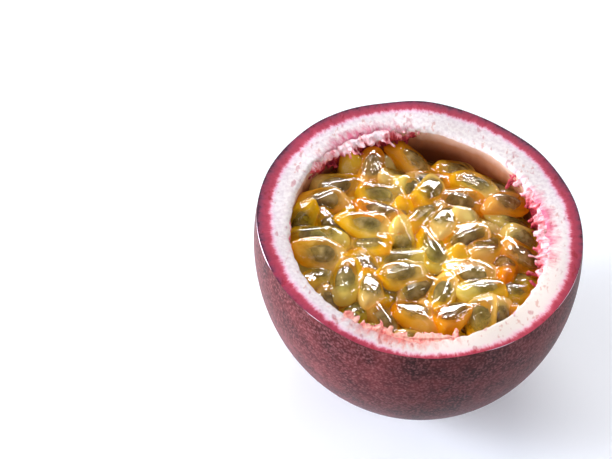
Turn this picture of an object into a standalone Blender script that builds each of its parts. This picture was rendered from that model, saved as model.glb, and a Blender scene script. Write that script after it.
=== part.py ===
"""Half a passion fruit, cut face up: leathery skin, white pith and a cavity heaped with juicy seed sacs.

Frame: metres, +Z up. The origin is on the floor, under the middle of the fruit. +Y points to the back.
"""

import math
import random

import bmesh
import bpy
from mathutils import Matrix, Vector

# Driving dimensions, in metres.
GIRTH_HALF_X = 0.0300  # the fruit's half widths, square to its long axis
GIRTH_HALF_Y = 0.0305
HALF_LENGTH = 0.0350  # along the long axis, stem to blossom
LEAN = math.radians(-12.0)  # the knife went across at a slant, so the long axis leans under a level cut
CUT_ABOVE_MIDDLE = 0.0052  # the cut face lies above the fruit's middle, so this is the larger half
REST_FLAT_DEPTH = 0.0005  # how much the skin is pressed flat where the half sits
SKIN_THICKNESS = 0.0023  # purple skin with the crimson flesh under it
WALL_GAP = 0.0003  # between neighbouring pieces

CAVITY_HALF_X = 0.0234
CAVITY_HALF_Y = 0.0246
CAVITY_HALF_LENGTH = 0.0287
CAVITY_SHIFT_Y = -0.0014  # the cavity lies off centre, so the pith is thinner at the front

HEAP_CROWN = 0.0024  # how far the middle of the heap of seed sacs stays below the cut face
HEAP_BACK = 0.0068  # the same at the cavity's back wall
HEAP_FRONT = 0.0042  # and at its front wall, where the heap stands higher
JUICE_BELOW_SACS = 0.0021  # juice stands this far below the tops of the sacs
SAC_HALF = (0.0047, 0.0028, 0.0025)  # half length, half width and half height of one seed sac
SAC_RINGS = ((0.0, 1), (0.0060, 6), (0.0115, 11), (0.0164, 16), (0.0205, 17))  # radius and count
SAC_SIZE_SPREAD = 0.14
SAC_HEIGHT_SPREAD = 0.0007
SAC_BEARING_SPREAD = math.radians(7.0)
SAC_TURN_SPREAD = math.radians(55.0)
SAC_TIP_SPREAD = math.radians(22.0)

AROUND = 40  # facets round the fruit
ALONG = 18  # facets from pole to pole
SAC_AROUND = 8
SAC_ALONG = 6


def lowest_point(half_x, half_length):
    """X and Z of the lowest point of a leaning ellipsoid, from its middle."""
    depth = math.hypot(half_length * math.cos(LEAN), half_x * math.sin(LEAN))
    across = (half_length**2 - half_x**2) * math.sin(LEAN) * math.cos(LEAN) / depth
    return -across, -depth


LOW_X, LOW_Z = lowest_point(GIRTH_HALF_X, HALF_LENGTH)
MIDDLE = Vector((0.0, 0.0, -LOW_Z - REST_FLAT_DEPTH))
CUT_Z = MIDDLE.z + CUT_ABOVE_MIDDLE
CAVITY_MIDDLE = MIDDLE + Vector((0.0, CAVITY_SHIFT_Y, 0.0))


def clear_scene():
    for old in list(bpy.data.objects):
        bpy.data.objects.remove(old)


def new_collection(name):
    made = bpy.data.collections.new(name)
    bpy.context.scene.collection.children.link(made)
    return made


def new_material(name, colour, roughness):
    made = bpy.data.materials.new(name)
    made.use_nodes = True
    surface = made.node_tree.nodes["Principled BSDF"]
    surface.inputs["Base Color"].default_value = (*colour, 1.0)
    surface.inputs["Roughness"].default_value = roughness
    surface.inputs["Metallic"].default_value = 0.0
    return made


def new_object(name, bm, collection):
    bmesh.ops.recalc_face_normals(bm, faces=bm.faces)
    mesh = bpy.data.meshes.new(name)
    bm.to_mesh(mesh)
    bm.free()
    made = bpy.data.objects.new(name, mesh)
    collection.objects.link(made)
    return made


def keep_one_side(bm, height, below):
    """Cuts the closed mesh by the level plane at height and closes the cut with one flat face."""
    cut = bmesh.ops.bisect_plane(
        bm,
        geom=bm.verts[:] + bm.edges[:] + bm.faces[:],
        plane_co=(0.0, 0.0, height),
        plane_no=(0.0, 0.0, 1.0),
        clear_outer=below,
        clear_inner=not below,
    )
    edges = [item for item in cut["geom_cut"] if isinstance(item, bmesh.types.BMEdge)]
    bmesh.ops.edgeloop_fill(bm, edges=edges)


def leaning_ellipsoid(middle, half_x, half_y, half_length):
    """A closed ellipsoid mesh whose long axis leans with the fruit's."""
    bm = bmesh.new()
    bmesh.ops.create_uvsphere(bm, u_segments=AROUND, v_segments=ALONG, radius=1.0)
    shape = Matrix.Diagonal((half_x, half_y, half_length, 1.0))
    place = Matrix.Translation(middle) @ Matrix.Rotation(LEAN, 4, "Y")
    bm.transform(place @ shape)
    return bm


def fruit_body(shrink):
    """The fruit's outer form, taken in by shrink all round."""
    return leaning_ellipsoid(
        MIDDLE, GIRTH_HALF_X - shrink, GIRTH_HALF_Y - shrink, HALF_LENGTH - shrink
    )


def cavity_body(shrink):
    """The seed cavity's form, taken in by shrink all round."""
    return leaning_ellipsoid(
        CAVITY_MIDDLE,
        CAVITY_HALF_X - shrink,
        CAVITY_HALF_Y - shrink,
        CAVITY_HALF_LENGTH - shrink,
    )


def apply_boolean(target, cutter, operation, own_overlaps=False):
    """Cuts or joins target with cutter, and leaves the result as target's own mesh."""
    step = target.modifiers.new(operation.lower(), "BOOLEAN")
    step.operation = operation
    step.solver = "EXACT"
    step.use_self = own_overlaps
    step.object = cutter
    bpy.context.view_layer.update()
    graph = bpy.context.evaluated_depsgraph_get()
    made = bpy.data.meshes.new_from_object(target.evaluated_get(graph))
    target.modifiers.clear()
    target.data = made
    cutter.hide_render = True
    cutter.display_type = "WIRE"


def finish(target, material):
    target.data.materials.clear()
    target.data.materials.append(material)
    target.data.shade_smooth()
    target.data.set_sharp_from_angle(angle=math.radians(35.0))


def make_skin(parts, cutters):
    """The purple skin and the crimson flesh under it, one bowl with a level rim and a pressed foot."""
    bm = fruit_body(0.0)
    keep_one_side(bm, CUT_Z, below=True)
    keep_one_side(bm, 0.0, below=False)
    skin = new_object("skin", bm, parts)
    hollow = new_object("skin_hollow", fruit_body(SKIN_THICKNESS), cutters)
    apply_boolean(skin, hollow, "DIFFERENCE")
    finish(skin, new_material("passion_fruit_skin", (0.16, 0.056, 0.063), 0.4))
    return skin


def make_pith(parts, cutters):
    """The white pith inside the skin, hollowed by the seed cavity."""
    bm = fruit_body(SKIN_THICKNESS + WALL_GAP)
    keep_one_side(bm, CUT_Z, below=True)
    pith = new_object("pith", bm, parts)
    hollow = new_object("seed_cavity", cavity_body(0.0), cutters)
    apply_boolean(pith, hollow, "DIFFERENCE")
    finish(pith, new_material("white_pith", (0.87, 0.75, 0.77), 0.6))
    return pith


def heap_top(x, y):
    """Height of the heap of seed sacs over a point of the cut face."""
    across = (x - CAVITY_MIDDLE.x) / CAVITY_HALF_X
    away = (y - CAVITY_MIDDLE.y) / CAVITY_HALF_Y
    spread = min(1.0, math.hypot(across, away))
    at_wall = HEAP_FRONT + (HEAP_BACK - HEAP_FRONT) * (0.5 + 0.5 * away)
    return CUT_Z - HEAP_CROWN - (at_wall - HEAP_CROWN) * spread**2


def add_sac(bm, place, heading, tip, size):
    """Adds one seed sac, a plump ellipsoid with its long axis along heading, tipped up by tip."""
    half = [size * side for side in SAC_HALF]
    turn = Matrix.Rotation(heading, 4, "Z") @ Matrix.Rotation(tip, 4, "Y")
    bmesh.ops.create_uvsphere(
        bm,
        u_segments=SAC_AROUND,
        v_segments=SAC_ALONG,
        radius=1.0,
        matrix=Matrix.Translation(place)
        @ turn
        @ Matrix.Diagonal((*half, 1.0))
        @ Matrix.Rotation(math.pi / 2, 4, "Y"),
    )


def make_pulp(parts, cutters):
    """The pulp: juice with a heap of seed sacs standing out of it, one solid that fills the cavity."""
    draw = random.Random(11)
    bm = cavity_body(WALL_GAP)
    back_wall_z = heap_top(CAVITY_MIDDLE.x, CAVITY_MIDDLE.y + CAVITY_HALF_Y)
    keep_one_side(bm, back_wall_z - JUICE_BELOW_SACS, below=True)
    pulp = new_object("pulp", bm, parts)

    sacs = bmesh.new()
    for ring, (radius, count) in enumerate(SAC_RINGS):
        for number in range(count):
            bearing = 2 * math.pi * (number + 0.5 * (ring % 2)) / count
            bearing += draw.uniform(-SAC_BEARING_SPREAD, SAC_BEARING_SPREAD)
            x = CAVITY_MIDDLE.x + radius * math.cos(bearing)
            y = CAVITY_MIDDLE.y + radius * math.sin(bearing) * CAVITY_HALF_Y / CAVITY_HALF_X
            size = 1.0 + draw.uniform(-SAC_SIZE_SPREAD, SAC_SIZE_SPREAD)
            heading = bearing + draw.uniform(-SAC_TURN_SPREAD, SAC_TURN_SPREAD)
            tip = draw.uniform(-SAC_TIP_SPREAD, SAC_TIP_SPREAD)
            top = heap_top(x, y) + draw.uniform(-SAC_HEIGHT_SPREAD, SAC_HEIGHT_SPREAD)
            add_sac(sacs, Vector((x, y, top - SAC_HALF[2] * size)), heading, tip, size)
    heap = new_object("sac_heap", sacs, cutters)
    apply_boolean(pulp, heap, "UNION", own_overlaps=True)
    wall = new_object("pulp_wall", cavity_body(WALL_GAP), cutters)
    apply_boolean(pulp, wall, "INTERSECT")
    finish(pulp, new_material("seed_sacs_in_juice", (0.60, 0.33, 0.06), 0.15))
    return pulp


def main():
    clear_scene()
    parts = new_collection("passion_fruit_half")
    cutters = new_collection("cutters")
    make_skin(parts, cutters)
    make_pith(parts, cutters)
    make_pulp(parts, cutters)


main()
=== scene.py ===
# %% [markdown]
# # Half a passion fruit
# A purple passion fruit is a leathery ball. Its skin is thin and dark, and a crimson layer lies
# under it. Next comes a thick white pith, like wet felt, and the hollow in the middle is packed
# with seed sacs: soft yellow bags of juice with one dark seed in each. This lesson builds the
# larger half, standing on its skin with the cut face up, round a finished CAD frame that gives
# every size.

import math

import bmesh
import bpy
import numpy as np
from mathutils import Matrix, Vector, noise


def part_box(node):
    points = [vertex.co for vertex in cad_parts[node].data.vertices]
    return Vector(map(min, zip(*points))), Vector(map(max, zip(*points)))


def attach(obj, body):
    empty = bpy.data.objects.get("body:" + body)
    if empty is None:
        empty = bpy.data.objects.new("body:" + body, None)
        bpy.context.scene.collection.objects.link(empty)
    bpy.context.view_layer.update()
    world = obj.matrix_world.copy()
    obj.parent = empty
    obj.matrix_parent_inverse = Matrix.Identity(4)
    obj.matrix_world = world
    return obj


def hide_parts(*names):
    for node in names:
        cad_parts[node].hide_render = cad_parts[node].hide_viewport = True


MM = 0.001
RANDOM_SEED = 5

# Noise vectors start from the clock unless they get a seed, and every run has to look the same.
noise.seed_set(RANDOM_SEED)

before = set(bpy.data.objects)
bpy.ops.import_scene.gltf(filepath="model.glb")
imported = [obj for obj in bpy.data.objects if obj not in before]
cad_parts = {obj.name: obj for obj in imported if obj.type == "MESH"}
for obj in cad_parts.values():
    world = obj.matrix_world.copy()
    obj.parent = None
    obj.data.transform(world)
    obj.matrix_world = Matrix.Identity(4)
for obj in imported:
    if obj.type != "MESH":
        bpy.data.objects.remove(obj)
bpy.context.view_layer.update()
skin_low, skin_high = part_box("skin")

# %% [markdown]
# ## Helpers
# Colours are picked as sRGB hex values, as in any paint program, but a shader adds light, so it
# needs linear values. One function converts them. Another adds a shader node: its settings are
# keyword arguments, and what feeds its sockets is a dictionary of values and of other nodes, so a
# material reads like a wiring list. Each finish is a function that bears its name, wires its nodes
# from the Object coordinates and returns their shader. Noise scales are given as real sizes in
# millimetres, because a scale of 1000 on Object coordinates means one blob in each millimetre.


# %% Colour, node and mesh helpers
def linear(hex_colour):
    """Turns an sRGB colour such as "#5A2A30" into the linear RGBA that a shader wants."""
    parts = [int(hex_colour[i : i + 2], 16) / 255 for i in (1, 3, 5)]
    return (*(c / 12.92 if c <= 0.04045 else ((c + 0.055) / 1.055) ** 2.4 for c in parts), 1.0)


def add_node(tree, kind, feeds=None, stops=None, **settings):
    """Adds a ShaderNode of a kind. feeds maps its inputs to values, nodes or a node's socket."""
    made = tree.nodes.new("ShaderNode" + kind)
    for name, value in settings.items():
        setattr(made, name, value)
    for socket, source in (feeds or {}).items():
        if isinstance(source, bpy.types.Node):
            # A node is short for its first output that is in use.
            source = next(out for out in source.outputs if out.enabled)
        if isinstance(source, bpy.types.NodeSocket):
            tree.links.new(source, made.inputs[socket])
        else:
            made.inputs[socket].default_value = source
    for number, (place, colour) in enumerate(stops or ()):
        ramp = made.color_ramp.elements
        stop = ramp[number] if number < 2 else ramp.new(place)
        stop.position = place
        stop.color = linear(colour)
    return made


def new_material(finish):
    """Makes a material of a finish: a function that wires nodes and returns their shader."""
    material = bpy.data.materials.new(finish.__name__)
    material.use_nodes = True
    tree = material.node_tree
    tree.nodes.clear()
    place = add_node(tree, "TexCoord").outputs["Object"]
    add_node(tree, "OutputMaterial", {"Surface": finish(tree, place)})
    return material


def new_piece(name, bm, *finishes):
    """Turns a bmesh into an object of the part, smooth shaded, with its place in its mesh."""
    mesh = bpy.data.meshes.new(name)
    bm.to_mesh(mesh)
    bm.free()
    piece = bpy.data.objects.new(name, mesh)
    bpy.context.collection.objects.link(piece)
    for finish in finishes:
        mesh.materials.append(new_material(finish))
    mesh.shade_smooth()
    print(f"{name}: {sum(len(f.vertices) - 2 for f in mesh.polygons)} triangles")
    return piece


def joined(parts):
    """Pours many small bmeshes into one, which is far faster than growing one ball by ball."""
    whole = bmesh.new()
    carrier = bpy.data.meshes.new("carrier")
    for part in parts:
        part.to_mesh(carrier)
        part.free()
        whole.from_mesh(carrier)
    bpy.data.meshes.remove(carrier)
    return whole


def repeat_every(millimetres):
    """The scale at which a noise or a cell pattern repeats about once in so many millimetres."""
    return 1 / (millimetres * MM)


# %% [markdown]
# ## Camera, floor and lights
# The camera looks down on the cut face at 50 degrees from 0.6 m with a long lens, so the rim stays
# nearly an even ellipse. It is rolled a little, and aimed beside the fruit, which then stands
# right of the middle. The floor is plain and pale, and glows a little, as paper does under studio
# light. Food is lit by large soft boxes: one high behind, one low at each side for the sheen on
# the skin, and a pale sky that fills the shadows. Four narrow sparkle lamps draw the thin glints
# on wet juice. They are hidden from diffuse rays, so they show in gloss alone and light nothing
# else.

# %% Camera
MIDDLE_BELOW_CUT = 5.2 * MM
FRUIT_MIDDLE = Vector((0, 0, skin_high.z - MIDDLE_BELOW_CUT))
CAMERA_DISTANCE = 0.600
CAMERA_ELEVATION = math.radians(50.0)
CAMERA_ROLL = math.radians(11.4)
AIM_LEFT = math.radians(1.96)
AIM_UP = math.radians(0.24)

camera_data = bpy.data.cameras.new("camera")
camera_data.sensor_width = 36
camera_data.lens = 193.0
camera_data.clip_start = 0.01
camera = bpy.data.objects.new("camera", camera_data)
bpy.context.collection.objects.link(camera)
back = Vector((0, -math.cos(CAMERA_ELEVATION), math.sin(CAMERA_ELEVATION)))
facing = (-back).to_track_quat("-Z", "Y").to_matrix().to_4x4()
roll = Matrix.Rotation(CAMERA_ROLL, 4, "Z")
aim = Matrix.Rotation(AIM_LEFT, 4, "Y") @ Matrix.Rotation(AIM_UP, 4, "X")
stand = Matrix.Translation(FRUIT_MIDDLE + back * CAMERA_DISTANCE)
camera.matrix_world = stand @ facing @ roll @ aim
bpy.context.scene.camera = camera
print("camera stands at", [round(c, 3) for c in camera.matrix_world.translation])
bpy.context.scene.view_settings.view_transform = "Standard"

# %% Floor
bm = bmesh.new()
bmesh.ops.create_circle(bm, cap_ends=True, radius=3.0, segments=64)


def matt_white_paper_floor(tree, place):
    return add_node(
        tree, "BsdfPrincipled",
        {
            "Base Color": linear("#F4F5F6"), "Roughness": 0.8, "Specular IOR Level": 0.0,
            "Emission Color": linear("#F2F4FC"), "Emission Strength": 0.13,
        },
    )


floor = new_piece("floor", bm, matt_white_paper_floor)


# %% Soft boxes and sky
def soft_box(name, direction, distance, width, height, power, colour="#FFFFFF"):
    """A rectangular lamp that faces the fruit. Lengths are in metres, and power in watts."""
    lamp = bpy.data.lights.new(name, "AREA")
    lamp.shape = "RECTANGLE"
    lamp.size, lamp.size_y = width, height
    lamp.energy = power
    lamp.color = linear(colour)[:3]
    holder = bpy.data.objects.new(name, lamp)
    bpy.context.collection.objects.link(holder)
    away = Vector(direction).normalized()
    holder.location = FRUIT_MIDDLE + away * distance
    holder.rotation_mode = "QUATERNION"
    holder.rotation_quaternion = away.to_track_quat("Z", "Y")
    return holder


soft_box("key_box", (-0.12, 0.62, 0.78), 0.55, 0.34, 0.22, 1.30)
soft_box("left_box", (-0.95, -0.26, 0.14), 0.55, 0.20, 0.34, 10.2, "#E8F0FF")
soft_box("right_box", (0.96, 0.12, 0.10), 0.60, 0.10, 0.34, 1.5, "#E6EEFF")
soft_box("front_box", (-0.10, -0.80, 0.60), 0.90, 0.50, 0.30, 0.65)
SPARKLES_AWAY = 0.5
for name, direction, width, height, power in (
    ("sparkle_top", (-0.10, 0.50, 0.86), 0.20, 0.08, 3.4),
    ("sparkle_back", (-0.05, 0.93, 0.36), 0.70, 0.10, 12.0),
    ("sparkle_left", (-0.85, 0.30, 0.50), 0.05, 0.28, 1.6),
    ("sparkle_right", (0.80, 0.35, 0.45), 0.05, 0.24, 1.0),
):
    sparkle = soft_box(name, direction, SPARKLES_AWAY, width, height, power)
    sparkle.visible_diffuse = False
    sparkle.visible_transmission = False

world = bpy.data.worlds.new("pale_studio")
world.use_nodes = True
bpy.context.scene.world = world
sky = world.node_tree.nodes["Background"].inputs
sky["Color"].default_value = linear("#F4F6FF")
sky["Strength"].default_value = 0.5
print("lamps:", len(bpy.data.lights))

# %% [markdown]
# ## The rind: one wall from skin to pith
# Skin, crimson layer and pith have grown together, so they are one piece here. The fruit is a
# leaning egg cut across on the slant. A leaning egg is an upright one that has been sheared, so
# each wall is an arc spun round Z, stretched and sheared by one matrix. The arcs themselves are
# spun from a single vertex. The two open bowls have equally many segments, and bridging their rims
# makes the cut face.

# %% Sizes of the two walls
AROUND = 360
WELD = 1e-5
OUTER_HALF = Vector(((skin_high.x - skin_low.x) / 2, (skin_high.y - skin_low.y) / 2, 34.8 * MM))
OUTER_SHEAR = -0.0546
CAVITY_HALF = Vector((23.57, 24.6, 28.49)) * MM
CAVITY_SHEAR = -0.0692
CAVITY_MIDDLE = FRUIT_MIDDLE + Vector((0, -1.4 * MM, 0))
CUT_Z = skin_high.z
SKIN, FLESH, LINING = 0, 1, 2


def egg_matrix(middle, half, shear):
    """Carries a unit ball to a leaning egg."""
    lean = Matrix.Identity(4)
    lean[0][2] = shear
    return Matrix.Translation(middle) @ lean @ Matrix.Diagonal((*half, 1.0))


def add_bowl(bm, middle, half, shear, rings, slot):
    """Adds the part of an egg that lies under the cut face, open at the top."""
    older = set(bm.verts)
    top = math.asin((CUT_Z - middle.z) / half.z)
    first = bmesh.ops.create_vert(bm, co=(0, 0, -1))["vert"]
    bmesh.ops.spin(
        bm, geom=first, cent=(0, 0, 0), axis=(0, -1, 0), angle=math.pi / 2 + top, steps=rings
    )
    arc = [v for v in bm.verts if v not in older]
    edges = [e for e in bm.edges if e.verts[0] not in older]
    bmesh.ops.spin(
        bm, geom=arc + edges, cent=(0, 0, 0), axis=(0, 0, 1), angle=2 * math.pi, steps=AROUND,
        use_merge=True,
    )
    newer = [v for v in bm.verts if v not in older]
    bmesh.ops.remove_doubles(bm, verts=newer, dist=WELD)
    newer = [v for v in bm.verts if v not in older]
    wall = [f for f in bm.faces if f.verts[0] not in older]
    for face in wall:
        face.material_index = slot
    bmesh.ops.recalc_face_normals(bm, faces=wall)
    if slot == LINING:
        bmesh.ops.reverse_faces(bm, faces=wall)
    bmesh.ops.transform(bm, matrix=egg_matrix(middle, half, shear), verts=newer)


def cavity_reach(x, y, z):
    """How far out a point lies between the cavity's axis, 0, and its wall, 1."""
    up = (z - CAVITY_MIDDLE.z) / CAVITY_HALF.z
    across = (x - CAVITY_MIDDLE.x - CAVITY_SHEAR * (z - CAVITY_MIDDLE.z)) / CAVITY_HALF.x
    away = (y - CAVITY_MIDDLE.y) / CAVITY_HALF.y
    return math.hypot(across, away) / math.sqrt(max(1e-6, 1 - up * up))


# %% Spin and bridge the wall
RINGS_OUTSIDE, RINGS_INSIDE, RINGS_ON_CUT = 52, 44, 26
rind_mesh = bmesh.new()
add_bowl(rind_mesh, FRUIT_MIDDLE, OUTER_HALF, OUTER_SHEAR, RINGS_OUTSIDE, SKIN)
add_bowl(rind_mesh, CAVITY_MIDDLE, CAVITY_HALF, CAVITY_SHEAR, RINGS_INSIDE, LINING)
rims = [e for e in rind_mesh.edges if e.is_boundary]
bridge = bmesh.ops.bridge_loops(rind_mesh, edges=rims)
for face in bridge["faces"]:
    face.material_index = FLESH
spokes = [e for e in bridge["edges"] if e.is_valid]
bmesh.ops.subdivide_edges(rind_mesh, edges=spokes, cuts=RINGS_ON_CUT, use_grid_fill=True)
bmesh.ops.recalc_face_normals(rind_mesh, faces=rind_mesh.faces)
still_open = sum(e.is_boundary for e in rind_mesh.edges)
print("rind faces:", len(rind_mesh.faces), "open edges:", still_open)

# %% [markdown]
# ### The edges
# A knife leaves a soft edge where the felt meets the hollow, and a crisp one through the skin. The
# inner edge is smoothed a few times. Where seed strings tore away it is also bitten out and sunk
# by noise, and each point remembers how torn it is in an attribute, which the flesh's colour
# reads. The skin stands on a small foot, pressed flat by the fruit's weight.

# %% Soften the edges
RIM_SOFT = 1.5 * MM
RIM_DEEP = 1.8 * MM
RIM_ROUNDS = 14
near_rim = [
    v
    for v in rind_mesh.verts
    if CUT_Z - v.co.z < RIM_DEEP and abs(cavity_reach(*v.co) - 1) * CAVITY_HALF.x < RIM_SOFT
]
for _ in range(RIM_ROUNDS):
    bmesh.ops.smooth_vert(
        rind_mesh, verts=near_rim, factor=0.5, use_axis_x=True, use_axis_y=True, use_axis_z=True
    )
print("points smoothed at the inner edge:", len(near_rim))

# %% Where the cut strays and tears
CUT_WAVE = 11 * MM
CUT_STRAY = 0.5 * MM
# Each has its bearing and its spread in degrees, and how ragged the edge is there.
RAGGED_PLACES = ((128, 26, 1.0), (18, 34, 0.9), (-92, 30, 0.9), (195, 25, 0.3))


def uneven_cut(place):
    """How far the knife strayed up or down at a place."""
    stray = noise.noise(Vector((place.x, place.y, 0)) / CUT_WAVE + Vector((3, 8, 1)))
    return (stray - 0.3) * CUT_STRAY


def tear(bearing):
    """How ragged the cavity's edge is at a bearing, from 0 to 1."""
    degrees = math.degrees(bearing) % 360
    torn = 0.0
    for middle, spread, strength in RAGGED_PLACES:
        off = (degrees - middle + 180) % 360 - 180
        torn += strength * math.exp(-((off / spread) ** 2))
    return min(1.0, torn)


# %% Tear the inner edge
TORN_WIDTH = 3.5 * MM
TORN_DEPTH = 3.0 * MM
SUNK_DEPTH = 2.0 * MM
WAVY_DEPTH = 3.0 * MM
# The cavity's bottom is left alone: it counts as far away from the edge.
SMOOTH_BELOW = CAVITY_MIDDLE.z - 20 * MM
FAR_OUT = 9
torn = rind_mesh.verts.layers.float.new("torn")
for v in rind_mesh.verts:
    reach = cavity_reach(*v.co) if v.co.z > SMOOTH_BELOW else FAR_OUT
    out = (reach - 1) * CAVITY_HALF.x
    if out < TORN_WIDTH:
        flat = Vector((v.co.x - CAVITY_MIDDLE.x, v.co.y - CAVITY_MIDDLE.y, 0))
        fade = max(0.0, 1 - max(0.0, out) / TORN_WIDTH) ** 2
        ragged = tear(math.atan2(flat.y, flat.x))
        v[torn] = ragged * fade**0.25
        fine = noise.fractal(v.co / (1.6 * MM), 0.6, 2.0, 3)
        broad = noise.noise(v.co / (5 * MM))
        high = max(0.0, 1 - (CUT_Z - v.co.z) / TORN_DEPTH)
        bitten = ragged * high * (0.45 + 1.5 * noise.noise(v.co / (1.2 * MM) + Vector((1, 7, 3))))
        push = (0.1 + 0.4 * ragged) * fine + 0.3 * broad + max(0.0, bitten)
        v.co += flat.normalized() * fade * MM * push
        if CUT_Z - v.co.z < SUNK_DEPTH:
            v.co.z -= fade * ragged * 0.5 * MM * (0.7 + 0.7 * noise.noise(v.co / (1.1 * MM)))
    if CUT_Z - v.co.z < WAVY_DEPTH:
        v.co.z += uneven_cut(v.co)
    v.co.z = max(v.co.z, 0.0)
print("torn points of the rind:", sum(v[torn] > 0.3 for v in rind_mesh.verts))

# %% [markdown]
# ### The skin
# Passion fruit skin is a waxy cuticle over dark purple cells. From near it looks brown and finely
# speckled with pale pink dots. The real dots are down to a quarter of a millimetre: here they are
# drawn 0.6 mm apart, as coarse as they need to be to show. They are cells of a Voronoi pattern,
# broken up by finer noise, and a slow mottle runs below them. Wax gives a broad, soft sheen, not a
# mirror, so the base is nearly without gloss under a thin coat. Just under the cut face a pale line
# is painted here and there: partly a hair of skin that the knife lifted, partly a painted highlight
# where the edge of the skin catches the light.

# %% Skin material
def waxy_purple_fruit_skin(tree, place):
    mottle = add_node(
        tree, "TexNoise",
        {"Vector": place, "Scale": repeat_every(4.8), "Detail": 4.0, "Roughness": 0.6},
    )
    patches = add_node(
        tree, "ValToRGB", {"Fac": mottle},
        stops=((0.32, "#2A0D0D"), (0.50, "#441415"), (0.70, "#602728")),
    )
    grain = add_node(
        tree, "TexNoise",
        {"Vector": place, "Scale": repeat_every(0.43), "Roughness": 0.6},
    )
    dots = add_node(tree, "TexVoronoi", {"Vector": place, "Scale": repeat_every(0.59)})
    specks = add_node(tree, "Math", {0: dots, 1: -0.5, 2: grain}, operation="MULTIPLY_ADD")
    specks = add_node(
        tree, "ValToRGB", {"Fac": specks}, stops=((0.16, "#181818"), (0.52, "#C8C8C8"))
    )
    colour = add_node(tree, "Mix", {0: specks, 6: patches, 7: linear("#885052")}, data_type="RGBA")
    rise = add_node(tree, "SeparateXYZ", {0: place})
    # A pale line just under the cut face: partly a lifted hair of skin, partly a painted highlight
    # on the skin's edge.
    patchy = add_node(tree, "TexNoise", {"Vector": place, "Scale": repeat_every(18), "Detail": 1.0})
    width = add_node(tree, "MapRange", {0: patchy, 1: 0.44, 2: 0.62, 3: -0.1 * MM, 4: 0.3 * MM})
    below = add_node(tree, "Math", {0: CUT_Z, 1: rise.outputs["Z"]}, operation="SUBTRACT")
    lifted_lip_and_painted_highlight = add_node(tree, "Math", {0: below, 1: width}, operation="LESS_THAN")
    colour = add_node(tree, "Mix", {0: lifted_lip_and_painted_highlight, 6: colour, 7: linear("#DCBCCA")}, data_type="RGBA")
    bumps = add_node(tree, "Bump", {"Height": grain, "Strength": 0.25, "Distance": 0.2 * MM})
    return add_node(
        tree, "BsdfPrincipled",
        {
            "Base Color": colour, "Roughness": 0.5, "IOR": 1.45, "Specular IOR Level": 0.07,
            "Coat Weight": 0.12, "Coat Roughness": 0.15, "Sheen Weight": 0.04,
            "Sheen Roughness": 0.35, "Sheen Tint": linear("#E4BCC2"), "Normal": bumps,
        },
    )


# %% [markdown]
# ### The cut face
# Outermost is a hair of dark skin, then two millimetres of crimson flesh that frays into white
# pith. How deep a point lies under the skin decides its colour, and the egg's own formula gives
# that depth from the Object coordinates. Noise bends the depth first, so that the border frays.
# The fibres of the flesh run from the middle outwards, so this noise is drawn out that way: it is
# sampled on a small ring, where all places of one bearing meet, and only slowly along the way out.

# %% Noise along the fibres
RING = 21 * MM


def drawn_outwards(tree, place):
    """Coordinates in which noise is drawn out along the lines from the middle to the skin."""
    flat = add_node(tree, "Mapping", {"Vector": place, "Scale": (1.0, 1.0, 0.0)})
    ring = add_node(tree, "VectorMath", {0: flat}, operation="NORMALIZE")
    ring = add_node(tree, "VectorMath", {0: ring, "Scale": RING}, operation="SCALE")
    slow = add_node(tree, "VectorMath", {0: place, "Scale": 0.5}, operation="SCALE")
    return add_node(tree, "VectorMath", {0: ring, 1: slow}, operation="ADD")


# %% Place on the cut face
def across_cut_face(tree, place):
    """Flattens the cut face to a disc: 0 in the middle and 1 at the skin."""
    rise = (CUT_Z - FRUIT_MIDDLE.z) / OUTER_HALF.z
    widen = math.sqrt(1 - rise * rise)
    shift = OUTER_SHEAR * (CUT_Z - FRUIT_MIDDLE.z)
    half_x, half_y = OUTER_HALF.x * widen, OUTER_HALF.y * widen
    to_middle = (-shift / half_x, 0.0, 0.0)
    to_disc = (1 / half_x, 1 / half_y, 0.0)
    return add_node(tree, "Mapping", {"Vector": place, "Location": to_middle, "Scale": to_disc})


# %% [markdown]
# Cut veins show as small crimson and tan flecks in the pith. Only the peaks of a noise pass a
# steep ramp, and multiplying by the tint keeps them from ever lightening the crimson ring.

# %% Vein flecks
FLECK_START = 0.63


def with_vein_flecks(tree, place, colour):
    """Adds flecks of two sizes to a colour, a little longer one way than the other."""
    drawn = add_node(
        tree, "Mapping", {"Vector": place, "Rotation": (0, 0, 0.9), "Scale": (1.0, 0.6, 1.0)}
    )
    for apart, tint in ((1.8, "#C8485C"), (1.0, "#DE8A76")):
        cells = add_node(tree, "TexNoise", {"Vector": drawn, "Scale": repeat_every(apart)})
        flecks = add_node(
            tree, "ValToRGB", {"Fac": cells},
            stops=((FLECK_START, "#000000"), (FLECK_START + 0.06, "#B8B8B8")),
        )
        colour = add_node(
            tree, "Mix", {0: flecks, 6: colour, 7: linear(tint)},
            data_type="RGBA", blend_type="MULTIPLY",
        )
    return colour


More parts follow.
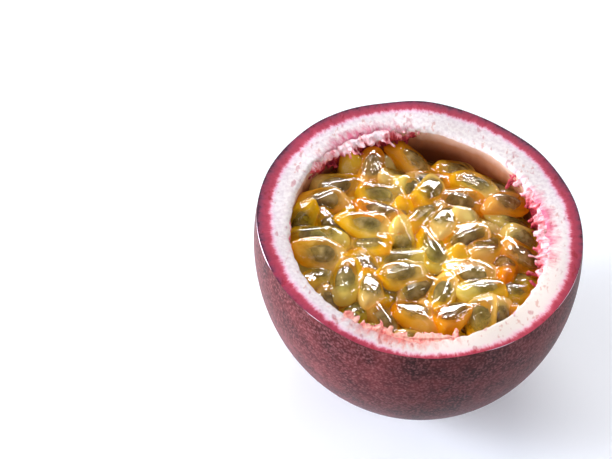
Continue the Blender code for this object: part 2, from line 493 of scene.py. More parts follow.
# %% Layers under the skin
def frayed_layers(tree, place, flat):
    """The colours from skin to pith, and what the stains need too: the fray and the thin front."""
    reach = add_node(tree, "VectorMath", {0: flat}, operation="LENGTH")
    depth = add_node(tree, "Math", {0: 1.0, 1: reach}, operation="SUBTRACT")
    fray = add_node(
        tree, "TexNoise",
        {
            "Vector": drawn_outwards(tree, place),
            "Scale": repeat_every(1.6), "Detail": 5.0, "Roughness": 0.72,
        },
    )
    wander = add_node(tree, "TexNoise", {"Vector": place, "Scale": repeat_every(7.7)})
    # Towards the front the wall leans in, so the crimson layer is cut thinner there.
    front = add_node(tree, "VectorMath", {0: flat, 1: (0.35, -0.94, 0.0)}, operation="DOT_PRODUCT")
    shallow = add_node(tree, "MapRange", {0: front, 1: 0.25, 2: 0.95})
    # The fine fray and a slow wander bend the depth, so the crimson band is never an even ring.
    for bend, share in ((fray, 0.075), (wander, 0.030), (shallow, 0.05)):
        depth = add_node(tree, "Math", {0: bend, 1: share, 2: depth}, operation="MULTIPLY_ADD")
    layers = add_node(
        tree, "ValToRGB", {"Fac": depth},
        stops=(
            (0.055, "#461A30"), (0.066, "#783048"), (0.086, "#9A3048"),
            (0.106, "#A8344A"), (0.120, "#BA4459"), (0.130, "#DC94A8"),
            (0.142, "#E2C8D0"), (0.160, "#E0D4D2"), (0.230, "#E4DAD4"),
        ),
    )
    return layers, fray, shallow


# %% Stains of juice
def with_juice_stains(tree, colour, fray, shallow):
    """Stains a colour pink where strings tore, and coral in the thin front."""
    torn = add_node(tree, "Attribute", attribute_name="torn")
    stain = add_node(
        tree, "Math", {0: fray, 1: 1.5, 2: torn.outputs["Fac"]}, operation="MULTIPLY_ADD"
    )
    blush = add_node(tree, "MapRange", {0: stain, 1: 1.08, 2: 1.62, 4: 0.9})
    bruise = add_node(
        tree, "Mix", {0: shallow, 6: linear("#CC4C70"), 7: linear("#E0705C")}, data_type="RGBA"
    )
    return add_node(tree, "Mix", {0: blush, 6: colour, 7: bruise}, data_type="RGBA")


# %% Tone of the felt
def with_felt_tone(tree, place, flat, colour):
    """Makes a colour faintly grainy, and a little creamier towards the right front."""
    grainy = add_node(
        tree, "TexNoise", {"Vector": place, "Scale": repeat_every(0.67), "Detail": 3.0}
    )
    grainy = add_node(
        tree, "ValToRGB", {"Fac": grainy}, stops=((0.35, "#EFE8EC"), (0.6, "#FFFFFF"))
    )
    right = add_node(tree, "VectorMath", {0: flat, 1: (0.75, -0.66, 0.0)}, operation="DOT_PRODUCT")
    warm = add_node(tree, "MapRange", {0: right, 1: 0.3, 2: 0.9})
    warm = add_node(tree, "Mix", {0: warm, 6: grainy, 7: linear("#FFFAF0")}, data_type="RGBA")
    return add_node(
        tree, "Mix", {0: 1.0, 6: colour, 7: warm}, data_type="RGBA", blend_type="MULTIPLY"
    )


# %% [markdown]
# Pith is a dry sponge, so it is matt and has almost no gloss, and a little light soaks into it.
# Its real fibres are a tenth of a millimetre thick. The grain and the bumps are drawn at 0.7 to
# 0.8 mm, as coarse as they need to be to show.

# %% Cut flesh material
def cut_crimson_flesh_and_white_pith(tree, place):
    flat = across_cut_face(tree, place)
    colour, fray, shallow = frayed_layers(tree, place, flat)
    colour = with_juice_stains(tree, colour, fray, shallow)
    colour = with_vein_flecks(tree, place, colour)
    colour = with_felt_tone(tree, place, flat, colour)
    felt = add_node(
        tree, "TexNoise",
        {"Vector": place, "Scale": repeat_every(0.77), "Detail": 5.0, "Roughness": 0.7},
    )
    bumps = add_node(tree, "Bump", {"Height": felt, "Strength": 0.35, "Distance": 0.2 * MM})
    return add_node(
        tree, "BsdfPrincipled",
        {
            "Base Color": colour, "Roughness": 0.65, "IOR": 1.38, "Specular IOR Level": 0.05,
            "Subsurface Weight": 0.1, "Subsurface Radius": (1.0, 0.5, 0.45),
            "Subsurface Scale": 0.4 * MM, "Normal": bumps,
        },
    )


# %% [markdown]
# ### The lining
# Inside, the hollow is lined by a smooth, wet membrane. It is cream at the cut. Further down, the
# light reaches it only through juice and sacs, so its colour is painted darker, to a warm brown:
# painted shade. One ramp driven by the height gives both, a cloud of noise keeps the change
# uneven, and a low roughness makes it look wet.

# %% Lining material
PAINTED_SHADE_BELOW = 7 * MM


def wet_cavity_lining_with_painted_shade(tree, place):
    drop = add_node(tree, "SeparateXYZ", {0: place})
    # Painted shade: cream at the cut, darkening to brown further down, where less light reaches.
    deep = add_node(tree, "MapRange", {0: drop.outputs["Z"], 1: CUT_Z, 2: CUT_Z - PAINTED_SHADE_BELOW})
    cloud = add_node(
        tree, "TexNoise",
        {"Vector": place, "Scale": repeat_every(3.3), "Detail": 4.0, "Roughness": 0.6},
    )
    uneven = add_node(tree, "Math", {0: cloud, 1: 0.25, 2: deep}, operation="MULTIPLY_ADD")
    colour = add_node(
        tree, "ValToRGB", {"Fac": uneven},
        stops=((0.12, "#E4D6D2"), (0.30, "#CAA48E"), (0.56, "#A0684A"), (0.95, "#6A361E")),
    )
    return add_node(
        tree, "BsdfPrincipled",
        {
            "Base Color": colour, "Roughness": 0.35, "IOR": 1.38, "Specular IOR Level": 0.35,
            "Subsurface Weight": 0.2, "Subsurface Radius": (1.0, 0.5, 0.4),
            "Subsurface Scale": 0.6 * MM,
        },
    )


# %% Finish the rind
rind = new_piece(
    "rind", rind_mesh,
    waxy_purple_fruit_skin, cut_crimson_flesh_and_white_pith, wet_cavity_lining_with_painted_shade,
)
rind.data.set_sharp_from_angle(angle=math.radians(50.0))
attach(rind, "root")
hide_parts("skin", "pith")

# %% [markdown]
# ## The torn strings
# Each sac hung from the wall on a short pink string. Where the half was pulled from its other half
# they tore, and left a frayed, lumpy band. It starts as a flat grid that is rolled round the wall
# like a label in a jar. Noise then swells it inwards, the parts that stay flat on the wall are
# deleted, and solidify gives the rest a thickness, because only closed shapes can be melted.

# %% Torn strings mesh
FRINGE_REACH = 2.7 * MM
FRINGE_DROP = 6.0 * MM
FRINGE_START = 0.25 * MM
BARE_WALL = 0.04


def wall_point(bearing, z, reach):
    """A point near the cavity's wall. reach is 1 on the wall and smaller inside."""
    up = (z - CAVITY_MIDDLE.z) / CAVITY_HALF.z
    wide = math.sqrt(max(0.0, 1 - up * up)) * reach
    leaned_x = CAVITY_MIDDLE.x + CAVITY_SHEAR * (z - CAVITY_MIDDLE.z)
    return Vector((
        leaned_x + CAVITY_HALF.x * wide * math.cos(bearing),
        CAVITY_MIDDLE.y + CAVITY_HALF.y * wide * math.sin(bearing),
        z,
    ))


def lumps(place):
    """Uneven torn flesh: soft swellings with sharper tags on them."""
    soft = noise.fractal(place / (2.1 * MM), 0.7, 2.1, 4)
    tags = 1.0 - noise.voronoi(place / (0.9 * MM))[0][0]
    patchy = 0.5 + 0.9 * noise.noise(place / (2.6 * MM) + Vector((9, 4, 2)))
    return max(0.0, 0.35 + 0.75 * soft + 0.4 * max(0.0, tags) * patchy)


fringe_mesh = bmesh.new()
frill = fringe_mesh.verts.layers.float.new("frill")
bmesh.ops.create_grid(fringe_mesh, x_segments=640, y_segments=26, size=1.0)
for v in fringe_mesh.verts:
    bearing = math.pi * v.co.x
    down = 0.5 - 0.5 * v.co.y
    z = CUT_Z - FRINGE_START - FRINGE_DROP * down
    place = wall_point(bearing, z, 1.0)
    place.z += uneven_cut(place)
    ragged = tear(bearing) - 0.22 + 0.2 * noise.noise(place / (4 * MM))
    swell = max(0.0, ragged) * min(1.0, 0.45 + 9 * down) * (1 - 0.75 * down)
    pulled = swell * lumps(place) * FRINGE_REACH
    inward = (wall_point(bearing, z, 0.5) - place).normalized()
    v[frill] = pulled / FRINGE_REACH
    rooted = 0.2 + 1.3 * max(0.0, 1 - 7 * down)
    v.co = place + inward * (pulled - rooted * MM)
bmesh.ops.remove_doubles(fringe_mesh, verts=fringe_mesh.verts, dist=1e-6)
flat = [f for f in fringe_mesh.faces if max(v[frill] for v in f.verts) < BARE_WALL]
bmesh.ops.delete(fringe_mesh, geom=flat, context="FACES")
bmesh.ops.recalc_face_normals(fringe_mesh, faces=fringe_mesh.faces)
bmesh.ops.solidify(fringe_mesh, geom=fringe_mesh.faces[:], thickness=0.3 * MM)
print("lumpy band:", len(fringe_mesh.faces), "faces")

# %% [markdown]
# ### Tabs of torn flesh
# Noise alone gives soft hills. The torn ends are tabs and strings that hang free over the sacs, so
# these are real shapes: flattened cones, rooted in the wall and pointing at the middle, with a few
# long thin ones among them. Most stand where the edge is most ragged, because each bearing that is
# drawn is kept or thrown away by how ragged the edge is there.

# %% Make one tab
TABS = 170
LONG_TABS = 0.1
draw = np.random.default_rng(RANDOM_SEED)


def make_tab():
    """One tab or string: a cone drawn out from the wall, flattened and bent by noise."""
    while True:
        bearing = draw.uniform(0, 2 * math.pi)
        if draw.uniform(0.25, 1) < tear(bearing):
            break
    at_front = math.sin(bearing) < -0.75
    below = draw.uniform(0.5, 1.3) if at_front else draw.uniform(0.7, 3.2)
    root = wall_point(bearing, CUT_Z - below * MM, 1.06)
    inward = (wall_point(bearing, root.z, 0.5) - root).normalized()
    side = Vector((-inward.y, inward.x, 0))
    lie = inward + side * draw.normal(0, 0.4) + Vector((0, 0, draw.normal(-0.12, 0.14)))
    lie.normalize()
    long = draw.uniform(0, 1) < LONG_TABS
    length = (draw.uniform(3.5, 5.2) if long else draw.uniform(1.8, 3.8)) * MM
    wide = draw.uniform(0.5, 0.8) if long else draw.uniform(0.6, 1.5)
    bm = bmesh.new()
    bmesh.ops.create_cone(
        bm, cap_ends=True, segments=10, radius1=wide * MM, radius2=0.5 * wide * MM, depth=length
    )
    long_edges = [e for e in bm.edges if abs(e.verts[0].co.z - e.verts[1].co.z) > length / 2]
    bmesh.ops.subdivide_edges(bm, edges=long_edges, cuts=6, use_grid_fill=True)
    lay = lie.to_track_quat("Z", "Y").to_matrix().to_4x4()
    bm.transform(Matrix.Translation(root + lie * length * 0.42) @ lay)
    for v in bm.verts:
        level = root.z + lie.z * (v.co - root).dot(lie)
        v.co.z = level + (v.co.z - level) * 0.55
        v.co += noise.noise_vector(v.co / (1.2 * MM)) * 0.6 * MM
    bmesh.ops.recalc_face_normals(bm, faces=bm.faces)
    return bm


# %% [markdown]
# ### Melting shapes together
# Tabs that only poke into each other keep hard seams. Flesh has none, so the overlapping shapes
# are turned to little cubes by a voxel Remesh, which drops everything inside and draws one new
# skin. A few rounds of Smooth then take the steps out. The modifiers are applied at once, so the
# piece holds plain faces. Its colour runs from crimson, deep at the root, to pale pink at the rim.
# That is partly the strings' own colour and partly painted shade, which makes them darker and
# redder the further they hang below the cut.

# %% Melt the band and the tabs
def melt_together(bm, voxel, rounds):
    """Joins overlapping closed shapes into one skin and smooths the seams."""
    data = bpy.data.meshes.new("blank")
    bm.to_mesh(data)
    bm.free()
    blank = bpy.data.objects.new("blank", data)
    bpy.context.collection.objects.link(blank)
    merge = blank.modifiers.new("merge", "REMESH")
    merge.mode = "VOXEL"
    merge.voxel_size = voxel
    merge.use_smooth_shade = True
    settle = blank.modifiers.new("settle", "SMOOTH")
    settle.factor = 0.5
    settle.iterations = rounds
    bpy.context.view_layer.update()
    applied = blank.evaluated_get(bpy.context.evaluated_depsgraph_get())
    merged = bpy.data.meshes.new_from_object(applied)
    bpy.data.objects.remove(blank)
    melted = bmesh.new()
    melted.from_mesh(merged)
    return melted


STRING_VOXEL = 0.17 * MM
fringe_mesh = joined([fringe_mesh] + [make_tab() for _ in range(TABS)])
fringe_mesh = melt_together(fringe_mesh, STRING_VOXEL, 3)
frill = fringe_mesh.verts.layers.float.new("frill")
for v in fringe_mesh.verts:
    pulled = (1 - cavity_reach(*v.co)) * CAVITY_HALF.x / FRINGE_REACH
    # Painted shade: the further below the cut, the lower the value and the darker and redder the
    # colour, on top of the strings' own crimson at the root.
    v[frill] = 0.72 + 0.1 * pulled - 0.22 * (CUT_Z - v.co.z) / MM
    crumple = noise.fractal(v.co / (0.8 * MM), 0.8, 2.0, 3)
    v.co += v.normal * crumple * 0.16 * MM
    tucked = 0.45 if pulled < 0 else 0.2
    v.co.z = min(v.co.z, CUT_Z + uneven_cut(v.co) - tucked * MM)
print("torn strings:", TABS, "tabs,", len(fringe_mesh.faces), "faces")

# %% [markdown]
# ### String flesh
# The strings are wet, fleshy and half clear: light goes in and comes out pinker, which subsurface
# scattering does. The same noise along the fibres as on the cut face streaks them, so the two
# pieces look grown together, and at the front the colour leans to coral, as the stained pith does.


# %% Torn strings material
def torn_pink_seed_strings(tree, place):
    pulled = add_node(tree, "Attribute", attribute_name="frill")
    blotch = add_node(
        tree, "TexNoise",
        {
            "Vector": drawn_outwards(tree, place),
            "Scale": repeat_every(1.8), "Detail": 4.0, "Roughness": 0.7,
        },
    )
    depth = add_node(
        tree, "Math", {0: blotch, 1: 2.0, 2: pulled.outputs["Fac"]}, operation="MULTIPLY_ADD"
    )
    depth = add_node(tree, "Math", {0: depth, 1: 1.0}, operation="SUBTRACT")
    colour = add_node(
        tree, "ValToRGB", {"Fac": depth},
        stops=(
            (0.05, "#8A2230"), (0.30, "#C44A54"), (0.50, "#E4949A"), (0.66, "#EEBCBE"),
            (0.86, "#EED6D8"),
        ),
    )
    where = add_node(tree, "SeparateXYZ", {0: place})
    front = add_node(tree, "MapRange", {0: where.outputs["Y"], 1: -8 * MM, 2: -22 * MM})
    coral = add_node(
        tree, "Mix", {0: front, 6: linear("#FFFFFF"), 7: linear("#FFD2B8")}, data_type="RGBA"
    )
    colour = add_node(
        tree, "Mix", {0: 1.0, 6: colour, 7: coral}, data_type="RGBA", blend_type="MULTIPLY"
    )
    return add_node(
        tree, "BsdfPrincipled",
        {
            "Base Color": colour, "Roughness": 0.45, "Specular IOR Level": 0.12,
            "Subsurface Weight": 0.2, "Subsurface Radius": (1.0, 0.4, 0.4),
            "Subsurface Scale": 0.6 * MM,
        },
    )


fringe = new_piece("torn_strings", fringe_mesh, torn_pink_seed_strings)
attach(fringe, "root")

# %% [markdown]
# ## The seed sacs
# About a hundred plump sacs fill the bowl, shoulder to shoulder. Laying them out by hand would
# look stiff, and a physics run would be slow and hard to repeat. Here each sac is three balls in a
# row. A simple packing loop pushes overlapping balls apart, keeps them inside the bowl and under
# the heap's top, and lines the three up again, over and over until they fit, as they would settle.

# %% Where the heap lies
HEAP_CROWN = 2.2 * MM
HEAP_BACK = 5.2 * MM
HEAP_FRONT = 3.6 * MM
HEAP_DEPTH = 9.0 * MM


def heap_drop(x, y):
    """How far the heap's top lies below the cut face, for arrays of places."""
    across = (x - CAVITY_MIDDLE.x) / CAVITY_HALF.x
    away = (y - CAVITY_MIDDLE.y) / CAVITY_HALF.y
    spread = np.minimum(1.0, np.hypot(across, away))
    at_wall = HEAP_FRONT + (HEAP_BACK - HEAP_FRONT) * (0.5 + 0.5 * away)
    at_wall = at_wall * (1 + 0.5 * np.clip(across, -1, 0))
    return HEAP_CROWN + (at_wall - HEAP_CROWN) * spread**2


# %% Scatter the sacs
SACS = 112
BALL_RADII = np.array((2.00, 2.50, 2.10)) * MM
BALL_PLACES = np.array((-2.75, 0.0, 2.50)) * MM
SAC_HALF = Vector((4.95, 2.6, 2.4)) * MM
draw = np.random.default_rng(RANDOM_SEED)


def scattered_sacs():
    """Each sac's middle, axis and size, and how far it may stand above the heap's top."""
    size = draw.uniform(0.86, 1.10, SACS)
    bearing = draw.uniform(0, 2 * math.pi, SACS)
    radius = 0.9 * np.sqrt(draw.uniform(0, 1, SACS))
    x = CAVITY_MIDDLE.x + radius * CAVITY_HALF.x * np.cos(bearing)
    y = CAVITY_MIDDLE.y + radius * CAVITY_HALF.y * np.sin(bearing)
    z = CUT_Z - heap_drop(x, y) - draw.uniform(2 * MM, HEAP_DEPTH, SACS)
    # Near the wall most sacs still point at it, as they grew. Those in the middle lie anyhow.
    heading = np.where(
        draw.uniform(0, 1, SACS) < radius**1.5,
        bearing + draw.normal(0, 0.5, SACS),
        draw.uniform(0, 2 * math.pi, SACS),
    )
    tip = draw.normal(0, 0.28, SACS)
    axis = np.stack(
        (np.cos(heading) * np.cos(tip), np.sin(heading) * np.cos(tip), np.sin(tip)), axis=1
    )
    proud = draw.uniform(-1.0, 1.5, SACS) * MM
    return np.stack((x, y, z), axis=1), axis, size, proud


sac_middles, sac_axes, sac_sizes, sac_proud = scattered_sacs()
print("mean sac length in mm:", round(float(sac_sizes.mean()) * 2 * SAC_HALF.x / MM, 1))

# %% Pack the sacs
PACKING_STEPS = 260
SQUASH = 0.88
RISE = 0.03 * MM
PUSH = 0.35
WALL_GIVE = 0.92


def packed(middle, axis, size, proud):
    """Pushes the balls apart and back into the bowl. Returns the sacs' new middles and axes."""
    places = size[:, None] * BALL_PLACES
    radii = (size[:, None] * BALL_RADII).ravel()
    balls = middle[:, None, :] + axis[:, None, :] * places[:, :, None]
    proud = np.repeat(proud, 3)
    owner = np.repeat(np.arange(SACS), 3)
    other = owner[:, None] != owner[None, :]
    reach = (radii[:, None] + radii[None, :]) * SQUASH
    bowl_middle = np.array(CAVITY_MIDDLE)
    room = np.array(CAVITY_HALF)[None, :] - radii[:, None] * WALL_GIVE
    for _ in range(PACKING_STEPS):
        flat = balls.reshape(-1, 3)
        flat[:, 2] += RISE
        gap = flat[:, None, :] - flat[None, :, :]
        distance = np.sqrt((gap**2).sum(2)) + 1e-9
        overlap = np.where(other & (distance < reach), reach - distance, 0.0)
        flat = flat + (gap / distance[:, :, None] * overlap[:, :, None]).sum(1) * PUSH
        heap_top = CUT_Z - heap_drop(flat[:, 0], flat[:, 1])
        lowest = heap_top - HEAP_DEPTH + radii
        flat[:, 2] = np.minimum(np.maximum(flat[:, 2], lowest), heap_top + proud - radii)
        away = flat - bowl_middle
        away[:, 0] -= CAVITY_SHEAR * away[:, 2]
        out = np.sqrt(((away / room) ** 2).sum(1))
        away[:, :2] *= np.where(out > 1, 1 / out, 1.0)[:, None]
        away[:, 0] += CAVITY_SHEAR * away[:, 2]
        balls = (away + bowl_middle).reshape(SACS, 3, 3)
        middle = balls.mean(1)
        axis = balls[:, 2] - balls[:, 0]
        axis /= np.linalg.norm(axis, axis=1)[:, None]
        in_line = (places - places.mean(1)[:, None])[:, :, None]
        balls = middle[:, None, :] + axis[:, None, :] * in_line
    return middle, axis


TOP_LAYER = 4.5 * MM
sac_middles, sac_axes = packed(sac_middles, sac_axes, sac_sizes, sac_proud)
drop = CUT_Z - heap_drop(sac_middles[:, 0], sac_middles[:, 1]) - sac_middles[:, 2]
print("sacs:", SACS, "in the top layer:", int((drop < TOP_LAYER).sum()))

# %% [markdown]
# ### One sac
# A sac is a ball drawn out to nine or ten millimetres. It grew in a crowd, so its neighbours
# pressed flats into it, like those of a pebble or a pomegranate seed. A ball cut by planes would
# have sharp edges. Each plane pushes instead by a high power of how far a point stands out to it,
# and the sum of these pushes rounds every edge. Attributes keep each sac's own tone, the place
# along it, and how far a point lies on its upper side, all for its colour.

# %% Lay a sac
def sac_frame(middle, axis, twist):
    """A matrix that lays +X along axis at middle, with +Z near up and turned by twist."""
    forward = Vector(axis).normalized()
    side = Vector((0, 0, 1)).cross(forward).normalized()
    up = forward.cross(side)
    turn = Matrix((forward, side, up)).transposed().to_4x4()
    return Matrix.Translation(middle) @ turn @ Matrix.Rotation(twist, 4, "X")


# %% Flats on a sac
FACET_SHARPNESS = 8
SIDE_FACETS = 6


def facets_of_a_sac():
    """Directions and distances of the flats that its neighbours pressed, and the sac's taper."""
    turn = draw.uniform(0, 2 * math.pi) + np.arange(SIDE_FACETS) * 2 * math.pi / SIDE_FACETS
    turn = turn + draw.normal(0, 0.22, SIDE_FACETS)
    lean = draw.normal(0, 0.22, SIDE_FACETS)
    sides = (np.cos(turn) * np.cos(lean), np.sin(turn) * np.cos(lean), np.sin(lean))
    ends = np.array(((0.0, 0.0, 1.0), (0.0, 0.0, -1.0))) + draw.normal(0, 0.3, (2, 3))
    shoulders = draw.normal(0, 1, (5, 3)) * (1, 1, 1.4)
    facets = np.concatenate((np.stack(sides, axis=1), ends, shoulders))
    facets /= np.linalg.norm(facets, axis=1)[:, None]
    reaches = ((1.02, SIDE_FACETS), (1.0, 2), (1.05, 5))
    distances = np.concatenate([draw.uniform(0.88, far, count) for far, count in reaches])
    return facets, distances, draw.uniform(0.0, 0.2)


sac_twists = draw.uniform(-0.5, 0.5, SACS)
sac_looks = [facets_of_a_sac() for _ in range(SACS)]
frames = [sac_frame(*place) for place in zip(sac_middles, sac_axes, sac_twists)]
print("flats on each sac:", len(sac_looks[0][0]))

# %% Shape a sac
GOLDEN_STEP = 0.618
WIDEST = 1.25


def make_sac(number, shrink, puff):
    """One sac in its place. shrink scales it and puff adds a skin of even thickness."""
    size = sac_sizes[number] * shrink
    bm = bmesh.new()
    tone = bm.verts.layers.float.new("sac_tone")
    ends = bm.verts.layers.float.new("sac_along")
    window = bm.verts.layers.float.new("sac_window")
    bmesh.ops.create_uvsphere(bm, u_segments=24, v_segments=18, radius=1.0)
    drift = Vector((number * 3.7, number * 1.3, 0))
    facets, distances, narrow = sac_looks[number]
    for v in bm.verts:
        along = v.co.z
        pressed = np.clip(facets @ np.array(v.co), 0, None) / distances
        out = (pressed**FACET_SHARPNESS).sum() ** (-1 / FACET_SHARPNESS)
        wave = 1 + 0.10 * noise.noise(v.co * 1.3 + drift)
        form = v.co * min(WIDEST, out) * wave
        taper = 1 - narrow * form.z
        # Golden steps round the tones make no two sacs alike.
        v[tone] = (number * GOLDEN_STEP) % 1.0
        v[ends] = along
        v[window] = max(0.0, v.co.y) * (1 - along * along)
        v.co = Vector((
            form.z * SAC_HALF.x * size + along * puff,
            form.x * taper * SAC_HALF.y * size + v.co.x * puff,
            form.y * taper * SAC_HALF.z * size + v.co.y * puff,
        ))
    bm.transform(frames[number])
    bmesh.ops.recalc_face_normals(bm, faces=bm.faces)
    return bm


# %% [markdown]
# ## The juice film
# Fresh pulp glistens because one film of juice runs over all the sacs and fills the valleys
# between them. That film is a piece of its own. The sacs, puffed up a little, and a pool of juice
# below them are melted together, which gives the drawn-in valleys and bridges by itself. Its
# hidden underside is cut away flat and closed, deep inside the heap.

# %% A filled bowl
BOWL_RINGS, LID_RINGS = 36, 24


def filled_bowl(reach, below_heap):
    """The cavity's form, closed by a lid that runs below the heap's top."""
    bm = bmesh.new()
    add_bowl(bm, CAVITY_MIDDLE, CAVITY_HALF * reach, CAVITY_SHEAR, BOWL_RINGS, 0)
    rim = [e for e in bm.edges if e.is_boundary]
    lid = bmesh.ops.edgeloop_fill(bm, edges=rim)
    hub = bmesh.ops.poke(bm, faces=lid["faces"])["verts"][0]
    bmesh.ops.subdivide_edges(bm, edges=hub.link_edges[:], cuts=LID_RINGS, use_grid_fill=True)
    for v in bm.verts:
        v.co.z = min(v.co.z, CUT_Z - float(heap_drop(v.co.x, v.co.y)) - below_heap)
    bmesh.ops.recalc_face_normals(bm, faces=bm.faces)
    return bm


# %% Melt the film
FILM_THICKNESS = 0.14 * MM
FILM_VOXEL = 0.27 * MM
POOL_BELOW_TOP = 3.0 * MM
FILM_BOTTOM = (0, 0, CUT_Z - 12 * MM)
parts = [make_sac(number, 1.0, FILM_THICKNESS) for number in range(SACS)]
film_mesh = joined(parts + [filled_bowl(0.992, POOL_BELOW_TOP)])
film_mesh = melt_together(film_mesh, FILM_VOXEL, 3)
everything = film_mesh.verts[:] + film_mesh.edges[:] + film_mesh.faces[:]
bmesh.ops.bisect_plane(
    film_mesh, geom=everything, plane_co=FILM_BOTTOM, plane_no=(0, 0, 1), clear_inner=True
)
bmesh.ops.holes_fill(film_mesh, edges=[e for e in film_mesh.edges if e.is_boundary], sides=0)
print("film faces:", len(film_mesh.faces))

# %% [markdown]
# ### Clear juice
# Juice is water and sugar: clear, hardly tinted, smooth as glass, with an IOR of about 1.38. A low
# ripple in the normals breaks the lamps' reflections into the short white strokes that say wet.
# Real light bends through such a film and still reaches the sacs, which Cycles can't find in few
# samples. So the film is plainly transparent to shadow and diffuse rays, and glassy to the rest.

# %% Wet film material
def clear_passion_fruit_juice(tree, place):
    waves = add_node(
        tree, "TexNoise",
        {"Vector": place, "Scale": repeat_every(2.4), "Detail": 3.0, "Roughness": 0.45},
    )
    ripples = add_node(tree, "Bump", {"Height": waves, "Strength": 0.4, "Distance": 0.7 * MM})
    juice = add_node(
        tree, "BsdfPrincipled",
        {
            "Base Color": linear("#FFFBEA"), "Roughness": 0.03, "IOR": 1.38, "Normal": ripples,
            "Transmission Weight": 1.0,
        },
    )
    clear = add_node(tree, "BsdfTransparent", {"Color": linear("#FFFDF4")})
    path = add_node(tree, "LightPath")
    passing = add_node(
        tree, "Math",
        {0: path.outputs["Is Shadow Ray"], 1: path.outputs["Is Diffuse Ray"]}, operation="MAXIMUM",
    )
    return add_node(tree, "MixShader", {0: passing, 1: juice, 2: clear})


film = new_piece("juice_film", film_mesh, clear_passion_fruit_juice)
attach(film, "root")

# %% [markdown]
# ## The sac bodies
# Under the film lies the sac itself, a thin skin full of gel, amber to lemon yellow. It isn't
# glass: it is cloudy at its sides and clearer on top, where the seed shows as a soft shadow. That
# is a mix of a matt shader, a translucent one that lets light glow through, and transparency. The
# attribute on the upper side opens the window, and the cloudy noise keeps its edge soft. The sac's
# free end is deeper in colour, and each sac has its own tone.

# %% Sac bodies
UNDER_FILM = 0.97
sac_mesh = joined(make_sac(number, UNDER_FILM, 0.0) for number in range(SACS))


# %% Sac gel material
def yellow_seed_sac_gel(tree, place):
    tone, along, window = (
        add_node(tree, "Attribute", attribute_name=name).outputs["Fac"]
        for name in ("sac_tone", "sac_along", "sac_window")
    )
    cloud = add_node(
        tree, "TexNoise",
        {"Vector": place, "Scale": repeat_every(4.2), "Detail": 3.0, "Roughness": 0.6},
    )
    tip = add_node(tree, "Math", {0: along, 1: 0.42, 2: cloud}, operation="MULTIPLY_ADD")
    hue = add_node(
        tree, "ValToRGB", {"Fac": tip},
        stops=((0.25, "#FFE28E"), (0.50, "#FFD656"), (0.75, "#FFC828"), (1.0, "#FFB814")),
    )
    deeper = add_node(
        tree, "ValToRGB", {"Fac": tone},
        stops=((0.0, "#F6C888"), (0.16, "#FFE8C0"), (0.4, "#FFFFFF"), (0.95, "#EEF8BC")),
    )
    hue = add_node(
        tree, "Mix", {0: 1.0, 6: hue, 7: deeper}, data_type="RGBA", blend_type="MULTIPLY"
    )
    open_top = add_node(tree, "Math", {0: window, 1: cloud}, operation="MULTIPLY")
    cover = add_node(
        tree, "ValToRGB", {"Fac": open_top},
        stops=((0.14, "#E0E0E0"), (0.28, "#9C9C9C"), (0.46, "#606060")),
    )
    near = add_node(
        tree, "BsdfPrincipled", {"Base Color": hue, "Roughness": 0.5, "Specular IOR Level": 0.0}
    )
    through = add_node(tree, "BsdfTranslucent", {"Color": hue})
    gel = add_node(tree, "MixShader", {0: 0.3, 1: near, 2: through})
    clear = add_node(tree, "BsdfTransparent", {"Color": linear("#FFF6D8")})
    path = add_node(tree, "LightPath")
    # To shadow rays the gel is 70 percent clearer, or the sacs below would lie in the dark.
    lit = add_node(
        tree, "Math", {0: path.outputs["Is Shadow Ray"], 1: -0.70, 2: 1.0}, operation="MULTIPLY_ADD"
    )
    shown = add_node(tree, "Math", {0: cover, 1: lit}, operation="MULTIPLY")
    return add_node(tree, "MixShader", {0: shown, 1: clear, 2: gel})


sacs = new_piece("seed_sacs", sac_mesh, yellow_seed_sac_gel)
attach(sacs, "root")

# %% [markdown]
# ## The seeds
# A passion fruit seed is a flat, pitted teardrop, dark brown to grey, five millimetres long. Each
# is a squashed ball in its sac's own frame, a little above the middle so that it shows, with few
# faces, because the gel hides its edges. Noise two millimetres wide stands for the pits, which are
# finer on the real one but would blur away.

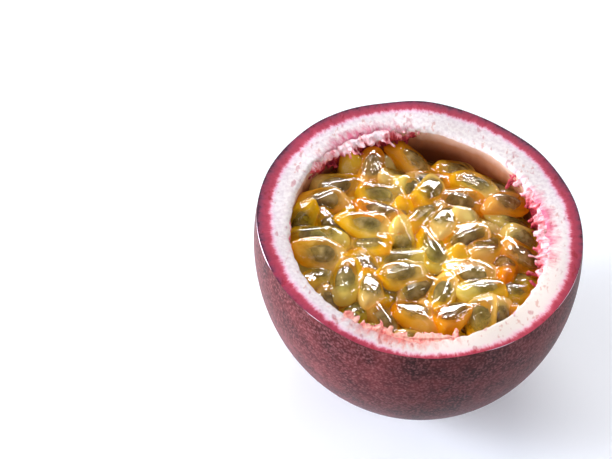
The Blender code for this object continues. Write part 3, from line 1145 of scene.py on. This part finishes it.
# %% Seeds
SEED_HALF_LENGTH = 2.7
SEED_HALF_WIDTH = 1.5
SEED_LIFT = 0.75 * MM


def make_seed(number):
    """One seed in its sac's place."""
    bm = bmesh.new()
    bmesh.ops.create_uvsphere(bm, u_segments=14, v_segments=10, radius=1.0)
    for v in bm.verts:
        along = v.co.z
        taper = 1 - 0.28 * along
        wide = v.co.x * taper * SEED_HALF_WIDTH * MM
        v.co = Vector((along * SEED_HALF_LENGTH * MM, wide, v.co.y * taper * MM))
        v.co.z += SEED_LIFT
    bm.transform(frames[number])
    bmesh.ops.recalc_face_normals(bm, faces=bm.faces)
    return bm


seed_mesh = joined(make_seed(number) for number in range(SACS))
print("seeds:", SACS, "of", 2 * SEED_HALF_LENGTH, "mm")


# %% Seed shell material
def dark_pitted_seed_shell(tree, place):
    pits = add_node(tree, "TexNoise", {"Vector": place, "Scale": repeat_every(1.9)})
    colour = add_node(
        tree, "ValToRGB", {"Fac": pits},
        stops=((0.32, "#231E1C"), (0.5, "#574F49"), (0.7, "#8E867E")),
    )
    return add_node(
        tree, "BsdfPrincipled", {"Base Color": colour, "Roughness": 0.6, "Specular IOR Level": 0.05}
    )


seeds = new_piece("seeds", seed_mesh, dark_pitted_seed_shell)
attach(seeds, "root")

# %% [markdown]
# ## The juice below
# Between the sacs one looks down into cloudy orange juice. It is the bowl's own shape, filled to
# just under the heap's top layer, and it reaches a hair into the wall so that no gap of air shows.
# It stands in for the solid heap of the CAD, with the real sacs and seeds on it.

# %% Cloudy juice
CORE_BELOW_TOP = 5.6 * MM
core_mesh = filled_bowl(1.004, CORE_BELOW_TOP)


def cloudy_orange_juice(tree, place):
    cloud = add_node(tree, "TexNoise", {"Vector": place, "Scale": repeat_every(4.0), "Detail": 3.0})
    colour = add_node(tree, "ValToRGB", {"Fac": cloud}, stops=((0.3, "#9C5C0C"), (0.7, "#E4AC28")))
    return add_node(
        tree, "BsdfPrincipled", {"Base Color": colour, "Roughness": 0.3, "Specular IOR Level": 0.05}
    )


core = new_piece("juice", core_mesh, cloudy_orange_juice)
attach(core, "root")
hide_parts("pulp")
